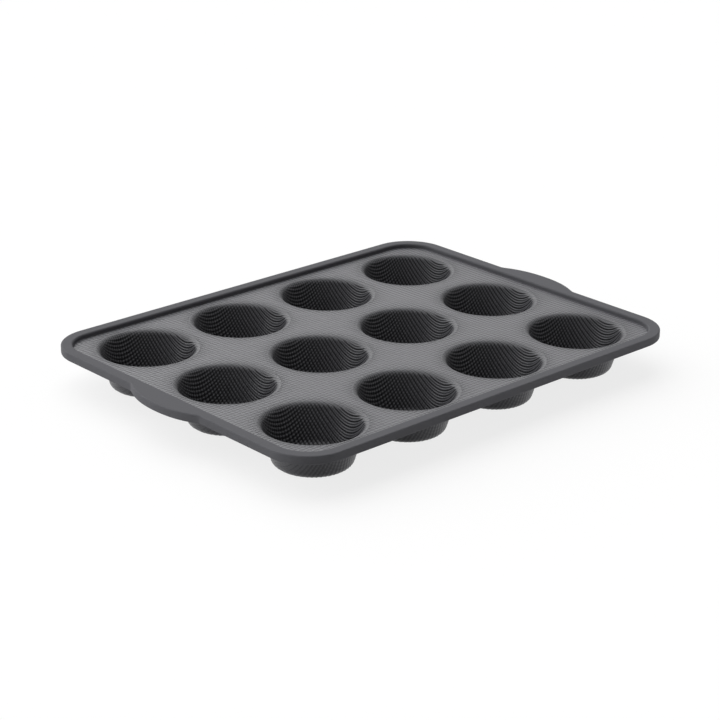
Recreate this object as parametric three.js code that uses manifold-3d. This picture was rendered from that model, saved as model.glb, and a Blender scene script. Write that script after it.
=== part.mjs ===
// Silicone muffin mould: a flat deck with rows of round cups, a raised solid rim with a grip tab on
// each short end, and a steel hoop moulded inside the rim to keep it flat.
// Millimetres, +Z up. The origin is on the table, under the middle of the tray. X runs along the
// longer side, from one tab to the other.
import * as THREE from "three";
import { mergeVertices } from "three/addons/utils/BufferGeometryUtils.js";
import Module from "manifold-3d";

// Cups
const COLUMNS = 4;
const ROWS = 3;
const MOUTH_RADIUS = 32;        // inside, where the wall would meet the deck with no rounding
const FLOOR_RADIUS = 24.3;      // inside, where the wall would meet the floor with no rounding
const CUP_DEPTH = 26.1;         // inside, from the deck down to the floor
const LIP_RADIUS = 3;           // rolled edge from the deck into the cup
const FLOOR_FILLET = 4.3;       // inside rounding between wall and floor
const SHEET = 1.2;              // thickness of deck, walls and floors

// Deck
const WEB_X = 11.5;             // flat deck between neighbouring lips along a row
const WEB_Y = 14.8;             // flat deck between neighbouring rows
const BORDER_X = 8.4;           // flat deck between the end lips and the rim
const BORDER_Y = 6.6;           // flat deck between the outer rows and the rim
const DECK_DROP = 3.1;          // deck below the top of the rim

// Rim
const RIM_BAND = 8;             // width seen from above
const RIM_DEPTH = 6;            // height of the outer face
const RIM_CORNER = 30.4;        // outer corner radius in plan
const RIM_EDGE = 1.2;           // rounding of the rim's edges

// Grip tabs
const TAB_LENGTH = 72;          // along the short side, from blend to blend
const TAB_REACH = 8.4;          // out from the rim at the middle
const TAB_BLEND = 4;            // handle of the curve that leaves the rim
const TAB_CROWN = 24;           // handle of the curve over the middle

// Steel hoop in the rim, and the pins that held it in the moulding tool
const HOOP_RADIUS = 1.25;
const PIN_RADIUS = 1;
const PIN_INSET = 60;           // from the start of a straight side to its pin marks

// Clearances
const JOIN_GAP = 0.3;           // between zones of the sheet, and between sheet and rim
const HOOP_CLEARANCE = 0.3;     // round the hoop in its channel

// Fineness of the round forms
const CUP_FACETS = 28;
const LIP_STEPS = 3;
const LIP_UNDER_STEPS = 2;
const FILLET_STEPS = 3;
const CORNER_STEPS = 8;
const TAB_STEPS = 8;
const EDGE_STEPS = 2;
const HOOP_SIDES = 8;
const PIN_FACETS = 10;

// Heights above the table
const FLOOR_TOP = SHEET;
const DECK_TOP = FLOOR_TOP + CUP_DEPTH;
const DECK_UNDER = DECK_TOP - SHEET;
const RIM_TOP = DECK_TOP + DECK_DROP;
const RIM_UNDER = RIM_TOP - RIM_DEPTH;
const HOOP_HEIGHT = RIM_TOP - RIM_DEPTH / 2;

// Plan sizes that follow from the driving ones
const DRAFT = Math.atan2(MOUTH_RADIUS - FLOOR_RADIUS, CUP_DEPTH);
const LIP_TANGENT = LIP_RADIUS * Math.tan((Math.PI / 2 - DRAFT) / 2);
const LIP_OUTER = MOUTH_RADIUS + LIP_TANGENT;
const PITCH_X = 2 * LIP_OUTER + WEB_X;
const PITCH_Y = 2 * LIP_OUTER + WEB_Y;
const HALF_X = ((COLUMNS - 1) * PITCH_X) / 2 + LIP_OUTER + BORDER_X + RIM_BAND;
const HALF_Y = ((ROWS - 1) * PITCH_Y) / 2 + LIP_OUTER + BORDER_Y + RIM_BAND;

const wasm = await Module();
wasm.setup();

// Rounded rectangle in plan, moved inwards from the rim's outer edge by an inset.
function trayOutline(inset) {
  const radius = RIM_CORNER - inset;
  const x = HALF_X - RIM_CORNER;
  const y = HALF_Y - RIM_CORNER;
  const corners = [[x, y], [-x, y], [-x, -y], [x, -y]];
  return corners.flatMap(([cx, cy], corner) =>
    Array.from({ length: CORNER_STEPS + 1 }, (_, step) => {
      const angle = (corner + step / CORNER_STEPS) * (Math.PI / 2);
      return new THREE.Vector2(cx + radius * Math.cos(angle), cy + radius * Math.sin(angle));
    }));
}

// Outer outline of one tab, from its start on the rim to its end, on the side given by sign.
function tabOutline(sign) {
  const half = TAB_LENGTH / 2;
  const at = (out, along) => new THREE.Vector2(sign * (HALF_X + out), sign * along);
  const rise = new THREE.CubicBezierCurve(
    at(0, -half), at(0, TAB_BLEND - half), at(TAB_REACH, -TAB_CROWN), at(TAB_REACH, 0));
  const fall = new THREE.CubicBezierCurve(
    at(TAB_REACH, 0), at(TAB_REACH, TAB_CROWN), at(0, half - TAB_BLEND), at(0, half));
  return [...rise.getPoints(TAB_STEPS), ...fall.getPoints(TAB_STEPS).slice(1)];
}

// Tray outline with both tabs, anticlockwise from the first tab's start.
function rimOutline() {
  const outline = trayOutline(0);
  const half = outline.length / 2;
  return [...tabOutline(1), ...outline.slice(0, half), ...tabOutline(-1), ...outline.slice(half)];
}

// Arc of a cup's profile about a centre, from one angle to another, in (radius, height).
function profileArc(centre, radius, from, to, steps) {
  return Array.from({ length: steps + 1 }, (_, step) => {
    const angle = from + ((to - from) * step) / steps;
    return new THREE.Vector2(centre.x + radius * Math.cos(angle), centre.y + radius * Math.sin(angle));
  });
}

// A cup with its rolled lip, turned about its own axis: up the outside, over the lip, down the inside.
function cupGeometry() {
  const lipCentre = new THREE.Vector2(LIP_OUTER, DECK_TOP - LIP_RADIUS);
  const wallAngle = Math.PI - DRAFT;
  const fillet = FLOOR_FILLET * Math.tan((Math.PI / 2 - DRAFT) / 2);
  const filletCentre = new THREE.Vector2(FLOOR_RADIUS - fillet, FLOOR_TOP + FLOOR_FILLET);
  const outerFillet = FLOOR_FILLET + SHEET;
  const under = LIP_RADIUS - SHEET;
  const profile = [
    new THREE.Vector2(0, 0),
    ...profileArc(filletCentre, outerFillet, -Math.PI / 2, -DRAFT, FILLET_STEPS),
    ...profileArc(lipCentre, under, wallAngle, Math.PI / 2, LIP_UNDER_STEPS),
    ...profileArc(lipCentre, LIP_RADIUS, Math.PI / 2, wallAngle, LIP_STEPS),
    ...profileArc(filletCentre, FLOOR_FILLET, -DRAFT, -Math.PI / 2, FILLET_STEPS),
    new THREE.Vector2(0, FLOOR_TOP),
  ];
  return new THREE.LatheGeometry(profile, CUP_FACETS).rotateX(Math.PI / 2);
}

// Centres of all cups, row by row from the front.
function cupCentres() {
  return Array.from({ length: ROWS * COLUMNS }, (_, index) => {
    const row = Math.floor(index / COLUMNS);
    const column = index % COLUMNS;
    return {
      name: `cup_${row + 1}_${column + 1}`,
      x: (column - (COLUMNS - 1) / 2) * PITCH_X,
      y: (row - (ROWS - 1) / 2) * PITCH_Y,
    };
  });
}

// Flat deck with one hole for each cup, its facets in line with the cup's own.
function deckGeometry() {
  const shape = new THREE.Shape(trayOutline(RIM_BAND + JOIN_GAP));
  const radius = LIP_OUTER + JOIN_GAP;
  shape.holes = cupCentres().map(({ x, y }) => new THREE.Path(
    Array.from({ length: CUP_FACETS }, (_, step) => {
      const angle = (step / CUP_FACETS) * Math.PI * 2;
      return new THREE.Vector2(x + radius * Math.sin(angle), y - radius * Math.cos(angle));
    })));
  const deck = new THREE.ExtrudeGeometry(shape, { depth: SHEET, bevelEnabled: false });
  return deck.translate(0, 0, DECK_UNDER);
}

// Closed round bar along the middle of the rim, used for the hoop and for its channel.
function hoopGeometry(radius) {
  const rings = Array.from({ length: HOOP_SIDES }, (_, side) => {
    const angle = (side / HOOP_SIDES) * Math.PI * 2;
    const height = HOOP_HEIGHT + radius * Math.sin(angle);
    return trayOutline(RIM_BAND / 2 - radius * Math.cos(angle)).map(({ x, y }) => [x, y, height]);
  });
  const count = rings[0].length;
  const index = [];
  for (let side = 0; side < HOOP_SIDES; side++) {
    for (let step = 0; step < count; step++) {
      const next = (step + 1) % count;
      const here = side * count;
      const above = ((side + 1) % HOOP_SIDES) * count;
      index.push(here + step, here + next, above + next, here + step, above + next, above + step);
    }
  }
  const geometry = new THREE.BufferGeometry();
  geometry.setAttribute("position", new THREE.Float32BufferAttribute(rings.flat(2), 3));
  geometry.setIndex(index);
  return geometry;
}

// Round marks under the rim where pins carried the hoop in the tool, two on each straight side.
function pinMarks() {
  const length = HOOP_HEIGHT - RIM_UNDER + RIM_DEPTH;
  const x = HALF_X - RIM_BAND / 2;
  const y = HALF_Y - RIM_BAND / 2;
  const alongX = HALF_X - RIM_CORNER - PIN_INSET;
  const alongY = HALF_Y - RIM_CORNER - PIN_INSET;
  const places = [-1, 1].flatMap((side) => [-1, 1].flatMap((end) => [
    [end * alongX, side * y],
    [side * x, end * alongY],
  ]));
  return places.map(([px, py]) =>
    new THREE.CylinderGeometry(PIN_RADIUS, PIN_RADIUS, length, PIN_FACETS)
      .rotateX(Math.PI / 2)
      .translate(px, py, HOOP_HEIGHT - length / 2));
}

// Solid for joining and cutting, from a closed geometry.
function toSolid(geometry) {
  const bare = geometry.clone();
  bare.deleteAttribute("normal");
  bare.deleteAttribute("uv");
  const merged = mergeVertices(bare);
  return new wasm.Manifold(new wasm.Mesh({
    numProp: 3,
    vertProperties: new Float32Array(merged.attributes.position.array),
    triVerts: new Uint32Array(merged.index.array),
  }));
}

function toGeometry(solid) {
  const mesh = solid.getMesh();
  const geometry = new THREE.BufferGeometry();
  geometry.setAttribute("position", new THREE.BufferAttribute(new Float32Array(mesh.vertProperties), 3));
  geometry.setIndex(new THREE.BufferAttribute(new Uint32Array(mesh.triVerts), 1));
  geometry.computeVertexNormals();
  return geometry;
}

// Rim bar with rounded edges and both tabs, hollowed for the hoop and its pin marks.
function rimGeometry() {
  const shape = new THREE.Shape(rimOutline());
  shape.holes = [new THREE.Path(trayOutline(RIM_BAND))];
  const bar = new THREE.ExtrudeGeometry(shape, {
    depth: RIM_DEPTH - 2 * RIM_EDGE,
    bevelThickness: RIM_EDGE,
    bevelSize: RIM_EDGE,
    bevelOffset: -RIM_EDGE,
    bevelSegments: EDGE_STEPS,
  });
  const cuts = [hoopGeometry(HOOP_RADIUS + HOOP_CLEARANCE), ...pinMarks()];
  const solid = cuts.reduce(
    (left, cut) => left.subtract(toSolid(cut)), toSolid(bar.translate(0, 0, RIM_UNDER + RIM_EDGE)));
  return toGeometry(solid);
}

const mould = new THREE.Group();

function addPiece(name, geometry, colour, roughness, metalness = 0) {
  const material = new THREE.MeshStandardMaterial({ color: colour, roughness, metalness });
  const mesh = new THREE.Mesh(geometry, material);
  mesh.name = name;
  mould.add(mesh);
  return mesh;
}

const RIM_GREY = 0x68696b;
const SHEET_GREY = 0x7c7d80;
const STEEL = 0xb8babd;

addPiece("rim", rimGeometry(), RIM_GREY, 0.5);
addPiece("rim_hoop", hoopGeometry(HOOP_RADIUS), STEEL, 0.35, 1);
addPiece("deck", deckGeometry(), SHEET_GREY, 0.6);
for (const { name, x, y } of cupCentres()) {
  addPiece(name, cupGeometry(), SHEET_GREY, 0.6).position.set(x, y, 0);
}

export default mould;
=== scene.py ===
"""Looks of a silicone muffin mould: a textured sheet with round cups, moulded into a smooth solid rim.

The sheet carries a fine woven texture, a lattice of grooves along both sides of the tray. On the deck the
lattice is even. In the cups it is drawn down with the sheet, so its rows hang in long curves on the walls.
"""

import math

import bpy
import numpy as np
from mathutils import Matrix, Vector


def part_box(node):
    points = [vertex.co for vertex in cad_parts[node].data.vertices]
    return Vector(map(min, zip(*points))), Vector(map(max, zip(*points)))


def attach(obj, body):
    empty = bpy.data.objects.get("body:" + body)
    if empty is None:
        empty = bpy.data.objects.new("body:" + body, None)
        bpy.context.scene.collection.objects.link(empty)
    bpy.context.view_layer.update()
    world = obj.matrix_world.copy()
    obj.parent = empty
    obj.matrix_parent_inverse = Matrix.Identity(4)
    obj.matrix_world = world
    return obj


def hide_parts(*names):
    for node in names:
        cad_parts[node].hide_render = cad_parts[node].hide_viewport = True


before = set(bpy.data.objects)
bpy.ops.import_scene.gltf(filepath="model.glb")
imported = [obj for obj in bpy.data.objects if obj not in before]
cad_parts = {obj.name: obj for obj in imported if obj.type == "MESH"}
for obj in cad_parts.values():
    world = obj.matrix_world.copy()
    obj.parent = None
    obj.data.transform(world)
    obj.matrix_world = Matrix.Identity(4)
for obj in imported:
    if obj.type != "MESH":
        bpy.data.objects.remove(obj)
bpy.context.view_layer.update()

MM = 0.001

# Sizes of the mould, the same as in the part's source
ROWS = 3
COLUMNS = 4
MOUTH_RADIUS = 32 * MM
FLOOR_RADIUS = 24.3 * MM
FLOOR_FILLET = 4.3 * MM
RIM_BAND = 8 * MM
RIM_CORNER = 30.4 * MM
RIM_EDGE = 1.2 * MM
TAB_LENGTH = 72 * MM
TAB_REACH = 8.4 * MM
TAB_BLEND = 4 * MM
TAB_CROWN = 24 * MM

# Texture of the sheet
WEAVE_X = 1.73 * MM           # from groove to groove along the tray
WEAVE_Y = 1.45 * MM           # from groove to groove across the tray
GROOVE_DEPTH = 0.6 * MM
LIP_FADE = 4 * MM             # how far from a lip the deck's deeper grooves fade out
OUTSIDE_SHARE = 0.5           # depth of the grooves under the sheet, and of their painted shade, as a share of those on top
DECK_SHARE = 0.3              # depth of the deck's grooves, as a share of the full depth
LIP_GAIN = 0.15               # what they gain at a lip
DECK_UNEVEN = 0.45            # half of what every second groove of the deck loses
LIP_EVENING = 0.2             # how much of that is undone at a lip
BETWEEN_SHARE = 0.8           # groove between those that cross a wall, where it faces along the tray
FADE_X = 0.3                  # what grooves across the tray lose where they run down a wall
CROSSING_Y = 0.75             # share of the grooves along the tray where they cross a wall
FADE_Y = 0.6                  # what those lose where they run down it
DRAWN_X = 0.485               # how far the lattice slips down for each unit of depth in a cup
DRAWN_Y = 0.566
BIAS_STRETCH = 0.45           # extra slip where the wall lies across the corners of the lattice

# Fineness of the meshes
WALL_STEP = 0.42 * MM
OUTSIDE_STEP = 1.0 * MM
FLOOR_CELLS = 108
AXIS_GUARD = 1e-6             # keeps the floor's middle off the axis, as a share of the floor's radius
CORNER_STEPS = 24
TAB_STEPS = 24
ROUND_STEPS = 6               # on a round edge of the rim

# Softer edges than the solids have, and where the deck meets the lips and the rim
LIP_RADIUS = 4.5 * MM
LIP_LAP = 0.5 * MM            # how far the deck runs over a lip
LAP_SINK = 0.1 * MM           # how far the deck's edge there sinks into the lip
OUTER_EDGE = 0.8 * MM
INNER_EDGE = 1.4 * MM
ROOT_FILLET = 0.4 * MM        # from the rim's inner face onto the deck
LOWER_ROOT = 0.9              # the same under the deck, as a share of the room for it
DECK_TUCK = 1.5 * MM          # how far the sheet runs into the rim

# Places on the maps, each as its low and its high corner
UPPER_RINGS_MAP = (0.0, 0.0), (1.0, 0.30)
LOWER_RINGS_MAP = (0.0, 0.31), (1.0, 0.52)
CUP_EDGE_MAP = (0.0, 0.53), (1.0, 0.55)
UPPER_FLOOR_MAP = (0.01, 0.56), (0.44, 0.99)
LOWER_FLOOR_MAP = (0.51, 0.56), (0.94, 0.99)
DECK_EDGE_MAP = (0.0, 0.985), (1.0, 0.995)
DECK_MAP_HEIGHT = 0.49        # of each face of the deck

# Greys of the finishes, darkest and palest, and how much bluer than neutral they are
PIP_GREYS = 0.112, 0.134
PIP_BLUE = 0.09
# painted shade: near-black colour for the bottoms of the grooves, where shade falls in the weave
PAINTED_GROOVE_SHADE = 0.006
RIM_GREYS = 0.096, 0.110
RIM_BLUE = 0.08
STEEL_GREYS = 0.50, 0.64

# Stage and light
FLOOR_HALF = 6.0
FLOOR_GREY = 0.55             # of the floor to all that doesn't see it outright
GLOW_SHARE = 0.8              # of the floor where it is seen outright
FILL = 0.28                   # light of the surroundings on the mould
FRONT_LOSS = 0.27             # what it loses towards the front left
FRONT_LEFT = -0.68, -0.73, 0.0
KEY_TOWARDS = -0.2, 0.6, 0.78
KEY_STRENGTH = 3.2
KEY_SOFTNESS = 100            # in degrees
CARD_LENGTH = 0.5
CARD_HEIGHT = 0.026
LEFT_CARD = -0.9, 0.35, 0.014
LEFT_POWER = 2.0
RIGHT_CARD = 0.62, -0.78, 0.014
RIGHT_POWER = 1.7

# Camera, fitted to the outlines in the photograph
CAMERA_ANGLES = -42.859, 21.789, 0.68
CAMERA_TARGET = -33.753 * MM, -32.196 * MM
CAMERA_DISTANCE = 1385.35 * MM
CAMERA_LENS = 105.63
CAMERA_SENSOR = 36
CAMERA_CLIP = 50

# Heights and half sizes read from the frame
RIM_LOW, RIM_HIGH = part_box("rim")
DECK_LOW, DECK_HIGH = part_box("deck")
SHEET = DECK_HIGH.z - DECK_LOW.z
DECK_TOP = DECK_HIGH.z
FLOOR_TOP = SHEET
RIM_TOP = RIM_HIGH.z
RIM_UNDER = RIM_LOW.z
HALF_X = RIM_HIGH.x - TAB_REACH
HALF_Y = RIM_HIGH.y

# Slope of the cup wall and where its roundings start
DRAFT = math.atan2(MOUTH_RADIUS - FLOOR_RADIUS, DECK_TOP - FLOOR_TOP)
WALL_TILT = math.pi / 2 - DRAFT
LIP_OUTER = MOUTH_RADIUS + LIP_RADIUS * math.tan(WALL_TILT / 2)
FLOOR_FLAT = FLOOR_RADIUS - FLOOR_FILLET * math.tan(WALL_TILT / 2)
WALL_START = FLOOR_FLAT + FLOOR_FILLET * math.sin(WALL_TILT)
WALL_END = LIP_OUTER - LIP_RADIUS * math.sin(WALL_TILT)


def cup_names():
    """Names of the cups, row by row from the front and from the left in each row."""
    return [f"cup_{row + 1}_{column + 1}" for row in range(ROWS) for column in range(COLUMNS)]


def cup_centre(name):
    """Plan centre of one cup, from its own solid in the frame."""
    low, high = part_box(name)
    return (low.x + high.x) / 2, (low.y + high.y) / 2


FIRST_X, FIRST_Y = cup_centre("cup_1_1")
PITCH_X = cup_centre("cup_1_2")[0] - FIRST_X
PITCH_Y = cup_centre("cup_2_1")[1] - FIRST_Y


def build_mesh(name, vertices, faces, places, smooth, grooves=None):
    """Mesh object from whole arrays: points, faces of equal size, a map place for each face corner,
    and for the sheet how deep each point lies in a groove."""
    mesh = bpy.data.meshes.new(name)
    mesh.vertices.add(len(vertices))
    mesh.vertices.foreach_set("co", np.ascontiguousarray(vertices, np.float32).ravel())
    mesh.loops.add(faces.size)
    mesh.loops.foreach_set("vertex_index", np.ascontiguousarray(faces, np.int32).ravel())
    mesh.polygons.add(len(faces))
    mesh.polygons.foreach_set("loop_start", np.arange(0, faces.size, faces.shape[1], dtype=np.int32))
    mesh.polygons.foreach_set("use_smooth", np.full(len(faces), smooth))
    mesh.update(calc_edges=True)
    layer = mesh.uv_layers.new(name="OFBake")
    layer.uv.foreach_set("vector", np.ascontiguousarray(places, np.float32).ravel())
    # the groove depth also sets the painted shade that darkens the grooves in the sheet's colour
    if grooves is not None:
        attribute = mesh.attributes.new("groove", "FLOAT", "POINT")
        attribute.data.foreach_set("value", np.ascontiguousarray(grooves, np.float32))
    piece = bpy.data.objects.new(name, mesh)
    bpy.context.scene.collection.objects.link(piece)
    return piece


def grid_quads(index):
    """Quads of a grid of point numbers, turning left where the second axis runs right and the first up."""
    return np.stack([index[:-1, :-1], index[:-1, 1:], index[1:, 1:], index[1:, :-1]], -1)


def grid_places(rows, columns, low, high):
    """Map places of the quads of a grid, spread evenly over a box given by its corners."""
    u = np.linspace(low[0], high[0], columns + 1)
    v = np.linspace(low[1], high[1], rows + 1)
    corners = np.stack(np.meshgrid(u, v), -1)
    return np.stack([corners[:-1, :-1], corners[:-1, 1:], corners[1:, 1:], corners[1:, :-1]], -2)


# Texture of the sheet

def groove(lattice_x, lattice_y, in_cup, facing, near_lip):
    """How deep a point lies in the grooves, from 0 on a pip to 1, by its place in the undrawn lattice.

    Each family of grooves is a raised cosine. On the deck they are shallow and every second one more so, and
    near a cup's lip they are deeper and more even. On a cup's wall a family is strongest where it crosses the
    slope and fades where it runs down it, by the squared cosine of the wall's direction along the tray. Where
    that is near 1, a lesser groove opens between those that cross the wall. Together the two families leave
    the product of what each leaves.
    """
    turn_x = 2 * np.pi * lattice_x / WEAVE_X
    turn_y = 2 * np.pi * lattice_y / WEAVE_Y
    once_x = (1 + np.cos(turn_x)) / 2
    twice_x = (1 + np.cos(2 * turn_x)) / 2
    once_y = (1 + np.cos(turn_y)) / 2
    shallow = DECK_SHARE + LIP_GAIN * near_lip
    uneven = DECK_UNEVEN - LIP_EVENING * near_lip
    deck_x = shallow * once_x * (1 - uneven + uneven * np.cos(turn_x / 2))
    deck_y = shallow * once_y * (1 - uneven + uneven * np.cos(turn_y / 2))
    between = BETWEEN_SHARE * facing**2
    wall_x = (between * twice_x + (1 - between) * once_x) * (1 - FADE_X * (1 - facing)**2)
    wall_y = once_y * (CROSSING_Y - FADE_Y * facing)
    deep_x = deck_x + in_cup * (wall_x - deck_x)
    deep_y = deck_y + in_cup * (wall_y - deck_y)
    return 1 - (1 - deep_x) * (1 - deep_y)


def drawn_lattice(radius, cosine, sine, drop):
    """Place in the undrawn lattice of a point of a cup, from the cup's axis.

    On the deck it is the plan place. On the wall the mouth's radius less the slip takes the place of the
    radius, and the slip grows with depth. On the floor the lattice runs evenly to the axis, and the extra
    slip dies away with the square of the radius.
    """
    reach = np.maximum(radius, MOUTH_RADIUS)
    spread = np.clip(radius / WALL_START, 0, 1)
    bias = BIAS_STRETCH * spread**2
    slip_x = DRAWN_X * drop * (1 + bias * sine**2)
    slip_y = DRAWN_Y * drop * (1 + bias * cosine**2)
    return cosine * (reach - slip_x) * spread, sine * (reach - slip_y) * spread


# Cups

def cup_profile(step):
    """Upper face of a cup from the floor's edge to the deck: radius, height and tilt of each ring.

    A hollow arc tangent to floor and wall, the straight wall, and a round lip tangent to wall and deck. The
    tilt is the slope's angle, so the face's normal leans towards the axis by the tilt.
    """
    floor_tilt = np.linspace(0, WALL_TILT, math.ceil(FLOOR_FILLET * WALL_TILT / step) + 1)
    lip_tilt = np.linspace(WALL_TILT, 0, math.ceil(LIP_RADIUS * WALL_TILT / step) + 1)
    wall_count = math.ceil((WALL_END - WALL_START) / math.cos(WALL_TILT) / step)
    wall_radius = np.linspace(WALL_START, WALL_END, wall_count + 1)[1:-1]
    wall_height = FLOOR_TOP + (wall_radius - FLOOR_RADIUS) * math.tan(WALL_TILT)
    radius = np.concatenate([
        FLOOR_FLAT + FLOOR_FILLET * np.sin(floor_tilt), wall_radius,
        LIP_OUTER - LIP_RADIUS * np.sin(lip_tilt)])
    height = np.concatenate([
        FLOOR_TOP + FLOOR_FILLET * (1 - np.cos(floor_tilt)), wall_height,
        DECK_TOP - LIP_RADIUS * (1 - np.cos(lip_tilt))])
    tilt = np.concatenate([floor_tilt, np.full_like(wall_radius, WALL_TILT), lip_tilt])
    return radius, height, tilt


def round_grid(cells):
    """Square grid bent into a unit disc: each square ring becomes a circle with its points evenly spread."""
    u, v = np.meshgrid(np.linspace(-1, 1, cells + 1), np.linspace(-1, 1, cells + 1))
    wide = np.abs(u) >= np.abs(v)
    ring = np.where(wide, u, v)
    safe = np.where(ring == 0, 1, ring)
    quarter = np.pi / 4 * np.where(wide, v, u) / safe
    angle = np.where(wide, quarter, np.pi / 2 - quarter)
    return ring * np.cos(angle), ring * np.sin(angle)


def edge_loop(index):
    """Point numbers round the edge of a square grid, turning left from its lower right corner."""
    return np.concatenate([index[:-1, -1], index[-1, :0:-1], index[:0:-1, 0], index[0, :-1]])


def cup_face(centre, step, below):
    """One face of a cup, floor and rings: points, groove depths, point numbers of floor and rings.

    The upper face lies on the profile and sinks into the sheet in the grooves. The lower face lies a sheet's
    thickness below it along the normal, and its grooves sink upwards. The wall's grooves take over from the
    deck's while the lip drops by half its radius.
    """
    floor_x, floor_y = round_grid(FLOOR_CELLS)
    floor_x = floor_x.ravel() * FLOOR_FLAT
    floor_y = floor_y.ravel() * FLOOR_FLAT
    ring_radius, ring_height, ring_tilt = (part[1:] for part in cup_profile(step))
    sides = 4 * FLOOR_CELLS
    angle = -np.pi / 4 + 2 * np.pi * np.arange(sides) / sides
    floor_radius = np.maximum(np.hypot(floor_x, floor_y), FLOOR_FLAT * AXIS_GUARD)
    rings = len(ring_radius)
    radius = np.concatenate([floor_radius, np.repeat(ring_radius, sides)])
    height = np.concatenate([np.full_like(floor_radius, FLOOR_TOP), np.repeat(ring_height, sides)])
    tilt = np.concatenate([np.zeros_like(floor_radius), np.repeat(ring_tilt, sides)])
    cosine = np.concatenate([floor_x / floor_radius, np.tile(np.cos(angle), rings)])
    sine = np.concatenate([floor_y / floor_radius, np.tile(np.sin(angle), rings)])

    drop = DECK_TOP - height
    lattice_x, lattice_y = drawn_lattice(radius, cosine, sine, drop)
    in_cup = np.clip(2 * drop / LIP_RADIUS, 0, 1)
    facing = 0.5 + (cosine**2 - 0.5) * np.sin(tilt) / math.sin(WALL_TILT)
    deep = groove(centre[0] + lattice_x, centre[1] + lattice_y, in_cup, facing, near_lip=1.0)
    if below:
        deep = deep * OUTSIDE_SHARE
    sunk = SHEET - GROOVE_DEPTH * deep if below else GROOVE_DEPTH * deep
    out = radius + sunk * np.sin(tilt)
    points = np.stack([
        centre[0] + out * cosine, centre[1] + out * sine, height - sunk * np.cos(tilt)], -1)

    floor = np.arange(floor_x.size).reshape(FLOOR_CELLS + 1, FLOOR_CELLS + 1)
    ring_index = floor_x.size + np.arange(rings * sides).reshape(rings, sides)
    return points, deep, floor, np.concatenate([edge_loop(floor)[None], ring_index])


def cup(name, centre):
    """A whole cup with its lip: upper face, lower face turned over, and the wall that joins their edges.

    On its map the rings lie in flat bands and the floors in two squares above them.
    """
    upper, upper_deep, upper_floor, upper_rings = cup_face(centre, WALL_STEP, below=False)
    lower, lower_deep, lower_floor, lower_rings = cup_face(centre, OUTSIDE_STEP, below=True)
    lower_floor = lower_floor + len(upper)
    lower_rings = lower_rings + len(upper)
    edge = np.stack([upper_rings[-1], lower_rings[-1]])

    def ring_quads(rings):
        """Quads between rings of points, closed round the axis."""
        return grid_quads(np.concatenate([rings, rings[:, :1]], axis=1)[::-1])

    parts = [
        (grid_quads(upper_floor), UPPER_FLOOR_MAP),
        (grid_quads(lower_floor)[..., ::-1], LOWER_FLOOR_MAP),
        (ring_quads(upper_rings), UPPER_RINGS_MAP),
        (ring_quads(lower_rings)[..., ::-1], LOWER_RINGS_MAP),
        (ring_quads(edge), CUP_EDGE_MAP),
    ]
    vertices = np.concatenate([upper, lower])
    grooves = np.concatenate([upper_deep, lower_deep])
    faces = np.concatenate([quads.reshape(-1, 4) for quads, _ in parts])
    places = np.concatenate([
        grid_places(*quads.shape[:2], low, high).reshape(-1, 4, 2) for quads, (low, high) in parts])
    return build_mesh(name, vertices, faces, places, True, grooves)


# Deck

def inside_rim(x, y):
    """True where a plan point lies inside the sheet's rounded outline, tucked into the rim."""
    past_x = np.maximum(np.abs(x) - (HALF_X - RIM_CORNER), 0)
    past_y = np.maximum(np.abs(y) - (HALF_Y - RIM_CORNER), 0)
    return np.hypot(past_x, past_y) < RIM_CORNER - RIM_BAND + DECK_TUCK


def split_quads(quads, turned):
    """Two triangles for each quad, with the other diagonal where turned."""
    ordered = np.where(turned[..., None], np.roll(quads, 1, axis=-1), quads)
    return np.stack([ordered[..., [0, 1, 2]], ordered[..., [0, 2, 3]]], -2).reshape(-1, 3)


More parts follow.
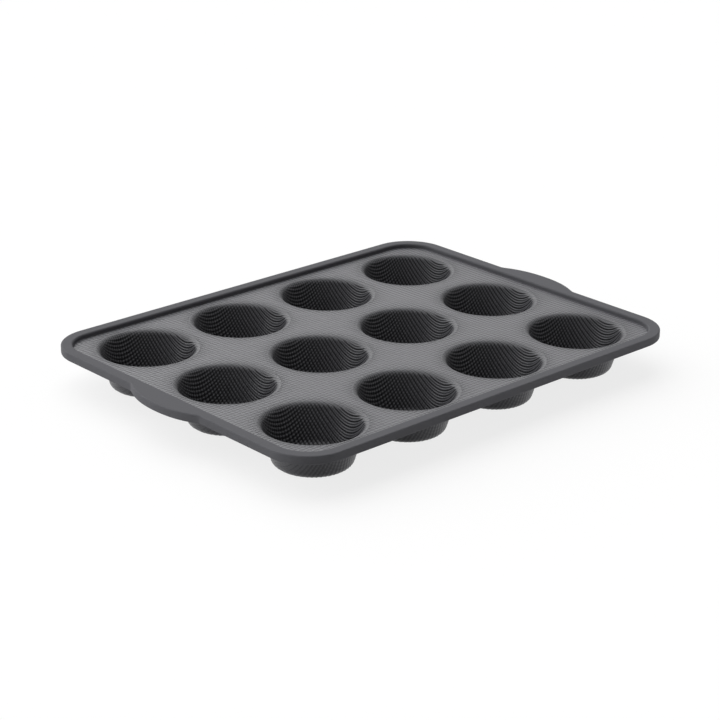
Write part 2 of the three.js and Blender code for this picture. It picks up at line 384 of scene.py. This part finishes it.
def deck_half(name, side):
    """Half of the deck, left or right, as a closed sheet over the lattice, with round holes for the cups.

    Grid lines run along the grooves and midway between them, so each pip is a low pyramid. Grid points in a
    hole, or up to a third of a step outside it, are moved out onto its circle, and quads that lie wholly on
    it are left out. The circle is a little smaller than the lip, and the deck's edge there sinks into the
    lip, so no gap shows. The lower face repeats the upper one turned over, and walls close every open side
    of the grid.
    """
    step_x = WEAVE_X / 2
    step_y = WEAVE_Y / 2
    count_x = math.ceil((HALF_X - RIM_BAND + DECK_TUCK) / step_x)
    count_y = math.ceil((HALF_Y - RIM_BAND + DECK_TUCK) / step_y)
    number_x = np.arange(count_x + 1) if side > 0 else np.arange(-count_x, 1)
    number_y = np.arange(-count_y, count_y + 1)
    x, y = np.meshgrid(number_x * step_x, number_y * step_y)
    centre_x = FIRST_X + PITCH_X * np.clip(np.round((x - FIRST_X) / PITCH_X), 0, COLUMNS - 1)
    centre_y = FIRST_Y + PITCH_Y * np.clip(np.round((y - FIRST_Y) / PITCH_Y), 0, ROWS - 1)
    radius = np.maximum(np.hypot(x - centre_x, y - centre_y), step_x)
    hole = LIP_OUTER - LIP_LAP
    at_hole = radius < hole + step_y / 3
    outward = np.where(at_hole, hole / radius, 1)
    x = centre_x + (x - centre_x) * outward
    y = centre_y + (y - centre_y) * outward
    past_lip = np.maximum(np.hypot(x - centre_x, y - centre_y) - LIP_OUTER, 0)
    near_lip = np.exp(-past_lip / LIP_FADE)
    deep = groove(x, y, in_cup=0.0, facing=0.5, near_lip=near_lip)
    top_height = DECK_TOP - GROOVE_DEPTH * deep - LAP_SINK * at_hole
    under_height = DECK_TOP - SHEET + GROOVE_DEPTH * OUTSIDE_SHARE * deep
    upper = np.stack([x, y, top_height], -1).reshape(-1, 3)
    lower = np.stack([x, y, under_height], -1).reshape(-1, 3)

    quads = grid_quads(np.arange(x.size).reshape(x.shape))
    middle_x = x.ravel()[quads].mean(-1)
    middle_y = y.ravel()[quads].mean(-1)
    kept = inside_rim(middle_x, middle_y) & ~at_hole.ravel()[quads].all(-1)
    turned = (number_x[None, :-1] + number_y[:-1, None]) % 2 == 1
    top = split_quads(quads[kept], turned[kept])
    bottom = top[:, ::-1] + x.size
    framed = np.pad(kept, 1)
    neighbours = framed[:-2, 1:-1], framed[1:-1, 2:], framed[2:, 1:-1], framed[1:-1, :-2]
    open_sides = [quads[kept & ~neighbour] for neighbour in neighbours]
    start = np.concatenate([open_quads[:, corner] for corner, open_quads in enumerate(open_sides)])
    end = np.concatenate([open_quads[:, (corner + 1) % 4] for corner, open_quads in enumerate(open_sides)])
    walls = np.stack([end, start, start + x.size, end + x.size], -1)
    wall_faces = split_quads(walls, np.zeros(len(walls), bool))

    flat_u = (x - x.min()) / np.ptp(x)
    flat_v = (y - y.min()) / np.ptp(y) * DECK_MAP_HEIGHT
    plan = np.stack([flat_u, flat_v], -1).reshape(-1, 2)
    under_places = plan[bottom - x.size] + (0, DECK_MAP_HEIGHT)
    wall_corners = grid_places(1, len(walls), *DECK_EDGE_MAP).reshape(-1, 4, 2)
    wall_places = np.concatenate([wall_corners[:, [0, 1, 2]], wall_corners[:, [0, 2, 3]]], axis=1)
    places = np.concatenate([plan[top], under_places, wall_places.reshape(-1, 3, 2)])
    faces = np.concatenate([top, bottom, wall_faces])
    used, packed = np.unique(faces, return_inverse=True)
    vertices = np.concatenate([upper, lower])[used]
    grooves = np.concatenate([deep.ravel(), OUTSIDE_SHARE * deep.ravel()])[used]
    return build_mesh(name, vertices, packed.reshape(faces.shape), places, False, grooves)


# Rim

def tray_path(corner_steps, tab_steps):
    """Path round the rim's outer edge without tabs: points, outward normals and the tab's reach at each.

    Straight sides joined by quarter circles. A tab's edge is a curve of four handles in each half, whose
    distance along the side and reach are both cubic in the same parameter.
    """
    rise = np.linspace(0, 1, tab_steps + 1)
    rest = 1 - rise
    along = rest**3 * TAB_LENGTH / 2 + 3 * rest**2 * rise * (TAB_LENGTH / 2 - TAB_BLEND)
    along += 3 * rest * rise**2 * TAB_CROWN
    reach = TAB_REACH * (3 * rest * rise**2 + rise**3)
    tab_y = np.concatenate([-along, along[-2::-1]])
    tab_out = np.concatenate([reach, reach[-2::-1]])
    x = HALF_X - RIM_CORNER
    y = HALF_Y - RIM_CORNER
    turn = np.linspace(0, np.pi / 2, corner_steps + 1)
    points, normals, outs = [], [], []
    for quarter, (corner_x, corner_y) in enumerate(((x, y), (-x, y), (-x, -y), (x, -y))):
        if quarter % 2 == 0:
            sign = 1 - quarter
            points.append(np.stack([np.full_like(tab_y, sign * HALF_X), sign * tab_y], -1))
            normals.append(np.stack([np.full_like(tab_y, sign), np.zeros_like(tab_y)], -1))
            outs.append(tab_out)
        angle = turn + quarter * np.pi / 2
        facing = np.stack([np.cos(angle), np.sin(angle)], -1)
        points.append(np.array([corner_x, corner_y]) + RIM_CORNER * facing)
        normals.append(facing)
        outs.append(np.zeros_like(angle))
    return np.concatenate(points), np.concatenate(normals), np.concatenate(outs)


def section_arc(centre, radius, start, end, steps):
    """Arc of the rim's section from one angle to another, in degrees, as (inset, height) points."""
    angle = np.radians(np.linspace(start, end, steps + 1))
    return np.stack([centre[0] - radius * np.cos(angle), centre[1] + radius * np.sin(angle)], -1)


def rim_section(steps):
    """Closed outline of the rim's section, as inset from the outer edge and height.

    A bar with four round edges. Its inner face runs out onto the deck, above and below, in hollow arcs, so
    that the sheet's edge is held inside the bar. Short runs beside each arc keep the flats flat.
    """
    flat = RIM_EDGE / 6
    under = RIM_UNDER + RIM_EDGE
    near = RIM_EDGE
    far = RIM_BAND - RIM_EDGE
    outer = OUTER_EDGE, RIM_TOP - OUTER_EDGE
    inner = RIM_BAND - INNER_EDGE, RIM_TOP - INNER_EDGE
    root = RIM_BAND + ROOT_FILLET
    deck_under = DECK_TOP - SHEET
    low_root = (deck_under - under) * LOWER_ROOT
    bar = [
        section_arc((near, under), RIM_EDGE, -90, 0, steps),
        [(0, under + flat), (0, outer[1] - flat)],
        section_arc(outer, OUTER_EDGE, 0, 90, steps),
        [(outer[0] + flat, RIM_TOP), (inner[0] - flat, RIM_TOP)],
        section_arc(inner, INNER_EDGE, 90, 180, 2 * steps),
        section_arc((root, DECK_TOP + ROOT_FILLET), ROOT_FILLET, 0, -90, steps),
        section_arc((RIM_BAND + low_root, deck_under - low_root), low_root, 90, 0, steps),
        section_arc((far, under), RIM_EDGE, 180, 270, steps),
        [(far - flat, RIM_UNDER), (near + flat, RIM_UNDER)],
    ]
    return np.concatenate([np.asarray(part) for part in bar])


def rim_bar(name):
    """The rim with both tabs: its section carried round the tray.

    A section point lies its inset inwards from the path along the path's normal. At a tab the outer half of
    the section moves out by the tab's reach.
    """
    points, normals, outs = tray_path(CORNER_STEPS, TAB_STEPS)
    section = rim_section(ROUND_STEPS)
    inset = section[:, 0]
    offset = outs[:, None] * (inset < RIM_BAND / 2) - inset
    plan = points[:, None, :] + normals[:, None, :] * offset[..., None]
    height = np.broadcast_to(section[:, 1], plan.shape[:2])
    vertices = np.concatenate([plan, height[..., None]], -1)
    around, across = vertices.shape[:2]
    index = np.arange(around * across).reshape(around, across)
    wrapped = np.pad(index, ((0, 1), (0, 1)), mode="wrap")
    quads = grid_quads(wrapped)[..., ::-1]
    places = grid_places(around, across, (0.0, 0.0), (1.0, 1.0))[..., ::-1, :]
    return build_mesh(name, vertices.reshape(-1, 3), quads.reshape(-1, 4), places, True)


# Materials

class Shade:
    """A socket of a shader tree in Python expressions: each operator adds a Math node."""

    def __init__(self, tree, socket=None):
        self.tree = tree
        self.socket = socket

    def feed(self, socket, value):
        """Links a shade to a socket, or sets the socket's own value."""
        if isinstance(value, Shade):
            self.tree.links.new(value.socket, socket)
        else:
            socket.default_value = value

    def node(self, kind, settings=None, sockets=None, output=0):
        """Adds a node, sets it up, feeds its sockets by name or number and returns one output."""
        made = self.tree.nodes.new(kind)
        for name, value in (settings or {}).items():
            setattr(made, name, value)
        for name, value in (sockets or {}).items():
            self.feed(made.inputs[name], value)
        return Shade(self.tree, made.outputs[output])

    def math(self, operation, *values):
        """Adds a Math node on shades or numbers."""
        return self.node("ShaderNodeMath", {"operation": operation}, dict(enumerate(values)))

    def mix(self, first, second):
        """Colour between two others, with this shade as the share of the second."""
        return self.node("ShaderNodeMix", {"data_type": "RGBA"}, {0: self, 6: first, 7: second}, output=2)

    def __add__(self, other):
        return self.math("ADD", self, other)

    __radd__ = __add__

    def __rsub__(self, other):
        return self.math("SUBTRACT", other, self)

    def __mul__(self, other):
        return self.math("MULTIPLY", self, other)

    __rmul__ = __mul__


def grey(level, blue=0.0):
    """Nearly neutral grey, a little bluer where asked."""
    return (level, level, level * (1 + blue), 1.0)


def new_material(name):
    """Material with a principled shader: the material, a shade to start from and the shader's sockets."""
    material = bpy.data.materials.new(name)
    material.use_nodes = True
    tree = material.node_tree
    return material, Shade(tree), tree.nodes["Principled BSDF"].inputs


def cloud(start, scale):
    """Slow cloudy change over the object, from 0 to 1."""
    place = start.node("ShaderNodeTexCoord", output="Object")
    return start.node("ShaderNodeTexNoise", sockets={"Vector": place, "Scale": scale, "Detail": 3.0})


def sheet_silicone():
    """Woven-textured silicone: pale pips with a soft gloss, dull grooves darkened by painted shade, a little
    uneven in tone.
    """
    material, start, sockets = new_material("sheet_silicone")
    tone = cloud(start, 45.0)
    deep = start.node("ShaderNodeAttribute", {"attribute_name": "groove"}, output="Fac")
    pip = tone.mix(*(grey(level, PIP_BLUE) for level in PIP_GREYS))
    # painted shade: the grooves' depth darkens the pips' grey towards near black, where shade falls in the
    # weave
    start.feed(sockets["Base Color"], deep.mix(pip, grey(PAINTED_GROOVE_SHADE)))
    start.feed(sockets["Roughness"], 0.5 + 0.1 * tone)
    sockets["Specular IOR Level"].default_value = 0.02
    start.feed(sockets["Coat Weight"], 1.0 - deep)
    sockets["Coat Roughness"].default_value = 0.3
    sockets["Coat IOR"].default_value = 1.4
    return material


def rim_silicone():
    """Smooth satin silicone of the rim, with a very fine moulded grain."""
    material, start, sockets = new_material("rim_silicone")
    tone = cloud(start, 60.0)
    place = start.node("ShaderNodeTexCoord", output="Object")
    grain = start.node("ShaderNodeTexNoise", sockets={"Vector": place, "Scale": 2600.0, "Detail": 2.0})
    bump = start.node("ShaderNodeBump", sockets={"Height": grain, "Strength": 0.25, "Distance": 0.03 * MM})
    sockets["Specular IOR Level"].default_value = 0.045
    start.feed(sockets["Base Color"], tone.mix(*(grey(level, RIM_BLUE) for level in RIM_GREYS)))
    start.feed(sockets["Roughness"], 0.52 + 0.12 * tone)
    start.feed(sockets["Normal"], bump)
    return material


def hoop_steel():
    """Drawn steel wire with faint streaks."""
    material, start, sockets = new_material("hoop_steel")
    tone = cloud(start, 300.0)
    sockets["Metallic"].default_value = 1.0
    start.feed(sockets["Base Color"], tone.mix(*(grey(level) for level in STEEL_GREYS)))
    start.feed(sockets["Roughness"], 0.28 + 0.14 * tone)
    return material


# Stage, light and camera

def seen_outright(start):
    """1 where the camera, a reflection or clear matter sees a thing, 0 where it only lights other things."""
    camera = start.node("ShaderNodeLightPath", output="Is Camera Ray")
    glossy = start.node("ShaderNodeLightPath", output="Is Glossy Ray")
    through = start.node("ShaderNodeLightPath", output="Is Transmission Ray")
    return start.math("MAXIMUM", start.math("MAXIMUM", camera, glossy), through)


def floor_white():
    """White floor that takes the shadow: seen outright mostly plain white glow, to all else a grey matte."""
    material, start, sockets = new_material("floor_white")
    shader = start.tree.nodes["Principled BSDF"]
    sockets["Roughness"].default_value = 0.9
    sockets["Specular IOR Level"].default_value = 0.0
    seen = seen_outright(start)
    start.feed(sockets["Base Color"], seen.mix(grey(FLOOR_GREY), grey(1.0)))
    matte = Shade(start.tree, shader.outputs[0])
    glow = start.node("ShaderNodeEmission", sockets={"Color": grey(1.0), "Strength": 1.0})
    surface = start.node("ShaderNodeMixShader", sockets={0: seen * GLOW_SHARE, 1: matte, 2: glow})
    start.feed(start.tree.nodes["Material Output"].inputs["Surface"], surface)
    return material


def add_floor():
    """Large flat floor under the cups."""
    corners = FLOOR_HALF * np.array([(-1, -1, 0), (1, -1, 0), (1, 1, 0), (-1, 1, 0)])
    floor = build_mesh("floor", corners, np.array([[0, 1, 2, 3]]), corners[:, :2], False)
    floor.data.materials.append(floor_white())


def add_world():
    """Pale surroundings, white where they are seen outright.

    To the mould they are a soft fill, which falls off with the cosine of the angle to the front left.
    """
    world = bpy.data.worlds.new("studio")
    bpy.context.scene.world = world
    world.use_nodes = True
    start = Shade(world.node_tree)
    sockets = world.node_tree.nodes["Background"].inputs
    direction = start.node("ShaderNodeTexCoord", output="Generated")
    front = start.node(
        "ShaderNodeVectorMath", {"operation": "DOT_PRODUCT"}, {0: direction, 1: FRONT_LEFT}, output="Value")
    fill = FILL - FRONT_LOSS * start.math("MAXIMUM", front, 0.0)
    start.feed(sockets["Strength"], fill + (1 - fill) * seen_outright(start))
    start.feed(sockets["Color"], grey(1.0))


def add_sun(name, towards, strength, softness):
    """Distant soft lamp that shines from a direction given as a vector towards the lamp."""
    lamp = bpy.data.lights.new(name, "SUN")
    lamp.energy = strength
    lamp.angle = math.radians(softness)
    holder = bpy.data.objects.new(name, lamp)
    holder.rotation_mode = "QUATERNION"
    holder.rotation_quaternion = Vector(towards).to_track_quat("Z", "Y")
    bpy.context.scene.collection.objects.link(holder)


def add_low_card(name, place, power):
    """Long low lamp beside the mould, facing its middle, that lifts the rim's sides as a white card does.

    Its upper edge lies lower than the rim's top, so it lights no cup from inside.
    """
    lamp = bpy.data.lights.new(name, "AREA")
    lamp.shape = "RECTANGLE"
    lamp.size = CARD_LENGTH
    lamp.size_y = CARD_HEIGHT
    lamp.energy = power
    holder = bpy.data.objects.new(name, lamp)
    holder.location = place
    holder.rotation_mode = "QUATERNION"
    holder.rotation_quaternion = Vector((-place[0], -place[1], 0)).to_track_quat("-Z", "Y")
    holder.visible_camera = False
    bpy.context.scene.collection.objects.link(holder)


def add_camera():
    """Camera at the photograph's place, from its azimuth, elevation, roll and distance to a target."""
    azimuth, elevation, roll = (math.radians(angle) for angle in CAMERA_ANGLES)
    target = Vector((*CAMERA_TARGET, RIM_TOP))
    level = math.cos(elevation)
    back = Vector((math.sin(azimuth) * level, -math.cos(azimuth) * level, math.sin(elevation)))
    right = Vector((0, 0, 1)).cross(back).normalized()
    up = back.cross(right)
    turned_right = math.cos(roll) * right + math.sin(roll) * up
    turned_up = math.cos(roll) * up - math.sin(roll) * right
    place = Matrix((turned_right, turned_up, back)).transposed().to_4x4()
    place.translation = target + back * CAMERA_DISTANCE
    data = bpy.data.cameras.new("camera")
    data.sensor_width = CAMERA_SENSOR
    data.lens = CAMERA_LENS
    data.clip_end = CAMERA_CLIP
    camera = bpy.data.objects.new("camera", data)
    camera.matrix_world = place
    bpy.context.scene.collection.objects.link(camera)
    bpy.context.scene.camera = camera


def add_piece(piece, material, slot, *nodes):
    """Gives a piece its material and body, and hides the nodes it stands for."""
    piece.data.materials.append(material)
    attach(piece, "root")
    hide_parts(*nodes)


def add_mould():
    """All pieces of the mould."""
    sheet = sheet_silicone()
    for name in cup_names():
        add_piece(cup("soft_" + name, cup_centre(name)), sheet, "cup_silicone", name)
    add_piece(deck_half("deck_left", -1), sheet, "sheet_silicone", "deck")
    add_piece(deck_half("deck_right", 1), sheet, "sheet_silicone", "deck")
    add_piece(rim_bar("rim_bar"), rim_silicone(), "rim_silicone", "rim")
    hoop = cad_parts["rim_hoop"]
    hoop.data.materials.clear()
    hoop.data.materials.append(hoop_steel())


add_camera()
add_mould()
add_floor()
add_world()
add_sun("key", KEY_TOWARDS, KEY_STRENGTH, KEY_SOFTNESS)
add_low_card("left_card", LEFT_CARD, LEFT_POWER)
add_low_card("right_card", RIGHT_CARD, RIGHT_POWER)
bpy.context.scene.view_settings.view_transform = "Standard"
